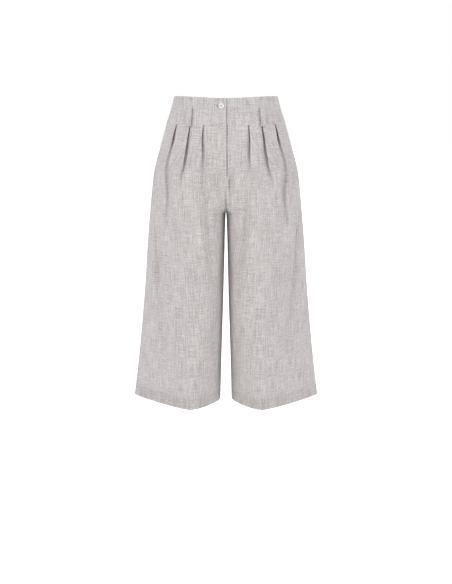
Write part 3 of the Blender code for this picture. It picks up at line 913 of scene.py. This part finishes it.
def thread_beads(name, runs, paint, radius=STITCH_RADIUS):
    """Many short stitches as one mesh: each run is (start, end, outward), in millimetres."""
    around, along = 7, 5
    points, faces = [], []
    for run in runs:
        start, end, outward = (np.array(v, float) for v in run)
        axis = end - start
        length = np.linalg.norm(axis)
        axis /= length
        beside = np.cross(axis, outward)
        beside /= np.linalg.norm(beside)
        rise = np.cross(beside, axis)
        base = len(points)
        for t in np.linspace(0, math.pi, along + 2)[1:-1]:
            middle = start + axis * length * (1 - math.cos(t)) / 2 + rise * 0.12 * math.sin(t)
            wide = radius * math.sin(t) ** 0.5
            for k in range(around):
                a = 2 * math.pi * k / around
                points.append(middle + wide * (math.cos(a) * beside + math.sin(a) * rise))
        tips = [len(points), len(points) + 1]
        points += [start, end]
        for ring in range(along - 1):
            for k in range(around):
                a, b = base + ring * around + k, base + ring * around + (k + 1) % around
                faces.append((a, b, b + around, a + around))
        for k in range(around):
            m = (k + 1) % around
            faces.append((tips[0], base + m, base + k))
            last = base + (along - 1) * around
            faces.append((tips[1], last + k, last + m))
    return mesh_object(name, np.array(points), faces, None, paint)


def band_point(x, z, stand):
    """A place on the right front's band, with its outward direction."""
    lift = BAND_SINK + BAND_CLOTH / 2 + stand + pull(abs(x), z)
    place, normal = Section(z, -1).at(np.full(1, abs(x)), np.full(1, lift))
    side = math.copysign(1, x)
    point = np.array([side * place[0, 0], place[0, 1], waist_line(z, place[0, 0])])
    return point, np.array([side * normal[0, 0], normal[0, 1], 0.1])


def loop_stitches(name, face, side, girth, paint):
    """The tack across the top of a loop: a small stitched box."""
    runs = []
    stand = BAND_SINK + BAND_CLOTH / 2 + LOOP_CLOTH - 0.5

    def spot(across, z):
        place, normal, way = loop_frame(z, face, girth, 0)
        point = place + across * way + stand * normal
        return (side * point[0], point[1], waist_line(z, point[0])), (side * normal[0], normal[1], 0.1)

    def run(a, b, count):
        for i in range(count):
            t = np.array([i + 0.12, i + 0.88]) / count
            ends = [spot(a[0] + (b[0] - a[0]) * u, a[1] + (b[1] - a[1]) * u) for u in t]
            runs.append((ends[0][0], ends[1][0], ends[0][1]))

    top, low, half = BAND_TOP - 2.2, BAND_TOP - 8.0, LOOP_WIDTH / 2 - 1.6
    run((-half, top), (half, top), 4)
    run((-half, low), (half, low), 4)
    run((-half, low), (-half, top), 3)
    run((half, low), (half, top), 3)
    run((-half, LOOP_TACK + 2), (half, LOOP_TACK + 2), 5)
    return thread_beads(name, runs, paint)


def make_button(paint, thread):
    """A four-hole shell button with a raised rim, sewn on with crossed thread."""
    lift = BAND_SINK + BAND_CLOTH / 2 + BUTTON_GAP
    place, _ = Section(BUTTON_Z, -1).at(np.full(1, -BUTTON_X), np.full(1, lift))
    r = BUTTON_RADIUS
    under = [(0, 0), (r - 1.6, 0.0), (r - 0.8, 0.15), (r - 0.25, 0.55)]
    rim = [(r, 1.15), (r - 0.12, 1.75), (r - 0.5, 2.15), (r - 1.0, 2.3), (r - 1.5, 2.2), (r - 2.0, 1.9)]
    dish = [(r - 2.6, 1.65), (2.6, 1.5), (0, 1.45)]
    bm = bmesh.new()
    line = [bm.verts.new((x * MM, 0, h * MM)) for x, h in under + rim + dish]
    edges = [bm.edges.new(pair) for pair in zip(line, line[1:])]
    bmesh.ops.spin(bm, geom=line + edges, axis=(0, 0, 1), angle=2 * math.pi, steps=72, use_merge=True)
    bmesh.ops.remove_doubles(bm, verts=bm.verts, dist=1e-5)
    bmesh.ops.recalc_face_normals(bm, faces=bm.faces)
    mesh = bpy.data.meshes.new("button")
    bm.to_mesh(mesh)
    bm.free()
    made = bpy.data.objects.new("shell_button", mesh)
    bpy.context.scene.collection.objects.link(made)
    off = BUTTON_HOLE_PLACE * MM
    for dx, dy in ((1, 1), (-1, 1), (-1, -1), (1, -1)):
        bpy.ops.mesh.primitive_cylinder_add(
            vertices=20, radius=BUTTON_HOLE * MM, depth=8 * MM, location=(off * dx, off * dy, 0)
        )
        cut_from(made, bpy.context.object)
    made.data.shade_smooth()
    made.data.set_sharp_from_angle(angle=math.radians(35))
    made.data.materials.clear()
    made.data.materials.append(paint)
    rise = waist_line(BAND_TOP, -BUTTON_X) - waist_line(0, -BUTTON_X)
    lean = math.atan2(read(FORM, "front_y", BAND_TOP) - read(FORM, "front_y", 0), rise)
    made.location = (BUTTON_X * MM, place[0, 1] * MM, waist_line(BUTTON_Z, -BUTTON_X) * MM)
    made.rotation_euler = (math.pi / 2 - lean, math.radians(BUTTON_TILT), 0)
    bpy.context.view_layer.update()
    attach(made, "root")
    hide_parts("button")

    place_of = np.array(made.matrix_world)
    runs = []
    for a, b in (((1, 1), (-1, -1)), ((1, -1), (-1, 1))):
        ends = []
        for dx, dy in (a, b):
            ends.append((place_of @ np.array([off * dx, off * dy, 1.5 * MM, 1]))[:3] / MM)
        out = place_of[:3, 2]
        for shift in (-0.25, 0.25):
            side_step = shift * np.cross(ends[1] - ends[0], out)
            side_step *= abs(shift) / max(np.linalg.norm(side_step), 1e-9)
            runs.append((ends[0] + side_step, ends[1] + side_step, out))
    thread_beads("button_thread", runs, thread, 0.3)


def cut_from(made, cutter):
    """Takes the cutter's shape out of a mesh and removes the cutter."""
    hole = made.modifiers.new("hole", "BOOLEAN")
    hole.operation = "DIFFERENCE"
    hole.solver = "EXACT"
    hole.object = cutter
    bpy.context.view_layer.update()
    graph = bpy.context.evaluated_depsgraph_get()
    mesh = bpy.data.meshes.new_from_object(made.evaluated_get(graph))
    made.modifiers.clear()
    made.data = mesh
    bpy.data.objects.remove(cutter)


def make_buttonhole(band, paint):
    """A keyhole through the right band, its edge bound with close stitches."""
    start, end = BUTTON_X + 5.0, BUTTON_X - BUTTON_RADIUS - 2.6
    outline = []
    for a in np.linspace(math.radians(30), math.radians(330), 14):
        outline.append((end + KEYHOLE_RADIUS * math.cos(a), BUTTON_Z + KEYHOLE_RADIUS * math.sin(a)))
    outline += [(start, BUTTON_Z - 0.35), (start, BUTTON_Z + 0.35)]
    bm = bmesh.new()
    front, behind = (
        [bm.verts.new((x * MM, y * MM, (z - waist_drop(x)) * MM)) for x, z in outline] for y in KEYHOLE_REACH
    )
    bm.faces.new(front)
    bm.faces.new(behind[::-1])
    for i in range(len(front)):
        j = (i + 1) % len(front)
        bm.faces.new((front[i], front[j], behind[j], behind[i]))
    bmesh.ops.recalc_face_normals(bm, faces=bm.faces)
    mesh = bpy.data.meshes.new("keyhole")
    bm.to_mesh(mesh)
    bm.free()
    cutter = bpy.data.objects.new("keyhole", mesh)
    bpy.context.scene.collection.objects.link(cutter)
    cut_from(band, cutter)

    runs = []
    inside = np.array(outline)
    closed = np.concatenate([inside, inside[:1]])
    steps = np.linalg.norm(np.diff(closed, axis=0), axis=1)
    total = np.concatenate([[0], np.cumsum(steps)])
    middle = inside.mean(axis=0)
    for d in np.arange(0, total[-1], 0.42):
        x, z = np.interp(d, total, closed[:, 0]), np.interp(d, total, closed[:, 1])
        ahead = np.array([np.interp((d + 0.2) % total[-1], total, closed[:, i]) for i in (0, 1)]) - (x, z)
        away = np.array([ahead[1], -ahead[0]]) / max(np.linalg.norm(ahead), 1e-9)
        if away @ (np.array([x, z]) - middle) < 0:
            away = -away
        a, out = band_point(x, z, 0.05)
        b, _ = band_point(x + 1.3 * away[0], z + 1.3 * away[1], 0.05)
        runs.append((a, b, out))
    return thread_beads("buttonhole_stitches", runs, paint, 0.2)


def waist_drop(x):
    """How far the band dips at the button's height."""
    return BUTTON_Z - waist_line(BUTTON_Z, abs(x))


def shell_material():
    """Pearly shell: pale bands that wander across it, smooth and glossy."""
    made, nodes, links = new_material("pale_shell")
    shader = nodes["Principled BSDF"]
    shader.inputs["Roughness"].default_value = 0.22
    shader.inputs["Coat Weight"].default_value = 0.4
    shader.inputs["Coat Roughness"].default_value = 0.12
    place = nodes.new("ShaderNodeTexCoord")
    bands = nodes.new("ShaderNodeTexWave")
    bands.inputs["Scale"].default_value = 90.0
    bands.inputs["Distortion"].default_value = 5.0
    bands.inputs["Detail"].default_value = 2.0
    links.new(place.outputs["Object"], bands.inputs["Vector"])
    colour = colour_between(nodes, links, bands.outputs["Fac"], (0.74, 0.70, 0.69, 1), (0.93, 0.91, 0.90, 1))
    links.new(colour, shader.inputs["Base Color"])
    add_bump(nodes, links, bands.outputs["Fac"], 0.1, 0.0002)
    return made


def thread_material():
    """Sewing thread in the cloth's own colour, with diagonal bands of painted shade standing in for the
    grooves between its plies.
    """
    made, nodes, links = new_material("sewing_thread")
    shader = nodes["Principled BSDF"]
    shader.inputs["Roughness"].default_value = 0.7
    place = nodes.new("ShaderNodeTexCoord")
    # Diagonal bands of painted shade where the grooves between the plies would fall
    ply_shade_bands = nodes.new("ShaderNodeTexWave")
    ply_shade_bands.bands_direction = "DIAGONAL"
    ply_shade_bands.inputs["Scale"].default_value = 900.0
    links.new(place.outputs["Object"], ply_shade_bands.inputs["Vector"])
    colour = colour_between(nodes, links, ply_shade_bands.outputs["Fac"], (0.36, 0.33, 0.32, 1), (0.5, 0.465, 0.455, 1))
    links.new(colour, shader.inputs["Base Color"])
    return made


# Stage


def make_stage():
    bpy.ops.mesh.primitive_plane_add(size=40, location=(0, 0, FLOOR))
    floor = bpy.context.object
    floor.name = "floor"
    made, nodes, links = new_material("pale_floor")
    shader = nodes["Principled BSDF"]
    shader.inputs["Base Color"].default_value = (0.93, 0.93, 0.93, 1)
    shader.inputs["Roughness"].default_value = 1.0
    shader.inputs["Specular IOR Level"].default_value = 0.0
    shader.inputs["Emission Color"].default_value = (1, 1, 1, 1)
    strength = by_camera_ray(nodes, links, 0.12, 0.9)
    links.new(strength.outputs["Result"], shader.inputs["Emission Strength"])
    floor.data.materials.append(made)

    world = bpy.data.worlds.new("studio")
    world.use_nodes = True
    nodes, links = world.node_tree.nodes, world.node_tree.links
    nodes["Background"].inputs["Color"].default_value = (1, 1, 1, 1)
    strength = by_camera_ray(nodes, links, 0.0, 1.0)
    way = nodes.new("ShaderNodeTexCoord")
    across = nodes.new("ShaderNodeSeparateXYZ")
    links.new(way.outputs["Generated"], across.inputs["Vector"])
    size = nodes.new("ShaderNodeMath")
    size.operation = "ABSOLUTE"
    links.new(across.outputs["X"], size.inputs[0])
    tent = nodes.new("ShaderNodeMapRange")
    tent.inputs["To Min"].default_value = AMBIENT_FRONT
    tent.inputs["To Max"].default_value = AMBIENT_SIDE
    links.new(size.outputs["Value"], tent.inputs["Value"])
    links.new(tent.outputs["Result"], strength.inputs["To Min"])
    links.new(strength.outputs["Result"], nodes["Background"].inputs["Strength"])
    bpy.context.scene.world = world

    def soft_light(name, place, size, power):
        lamp = bpy.data.lights.new(name, "AREA")
        lamp.shape = "RECTANGLE"
        lamp.size, lamp.size_y = size
        lamp.energy = power
        made = bpy.data.objects.new(name, lamp)
        made.location = place
        aim = np.array(LIGHT_AIM) - np.array(place)
        pitch = math.atan2(math.hypot(aim[0], aim[1]), -aim[2])
        made.rotation_euler = (pitch, 0, math.atan2(aim[0], -aim[1]) + math.pi)
        bpy.context.scene.collection.objects.link(made)

    soft_light("key_left", (-2.6, -2.1, 1.5), (1.2, 1.4), 35)
    soft_light("key_right", (2.6, -2.1, 1.5), (1.2, 1.4), 31)

    camera = bpy.data.objects.new("camera", bpy.data.cameras.new("camera"))
    camera.data.sensor_width = 36.0
    camera.data.lens = CAMERA_LENS
    camera.location = (0, -CAMERA_DISTANCE, CAMERA_HEIGHT)
    camera.rotation_euler = (math.radians(90 - CAMERA_PITCH), 0, 0)
    bpy.context.scene.collection.objects.link(camera)
    bpy.context.scene.camera = camera
    bpy.context.scene.view_settings.view_transform = "Standard"


linen = linen_material()
thread = thread_material()
make_stage()
bands = make_band(linen)
right_band = bands["waistband_right"]
panels = {
    "front_right": leg_panel("front_right", RIGHT, -1, FRONT_FOLDS, 11, linen),
    "front_left": leg_panel("front_left", LEFT, -1, uneven(FRONT_FOLDS, 5), 12, linen),
    "back_right": leg_panel("back_right", RIGHT, 1, BACK_FOLDS, 13, linen),
    "back_left": leg_panel("back_left", LEFT, 1, uneven(BACK_FOLDS, 6), 14, linen),
}

shield = make_shield(linen)
for where, face in (("front", -1), ("back", 1)):
    for side, which in ((RIGHT, "right"), (LEFT, "left")):
        name = f"belt_loop_{where}_{which}"
        loop = make_loop(name, face, side, LOOP_GIRTH, linen)
        stitches = loop_stitches(name + "_stitches", face, side, LOOP_GIRTH, thread)
hole_stitches = make_buttonhole(right_band, thread)
make_button(shell_material(), thread)
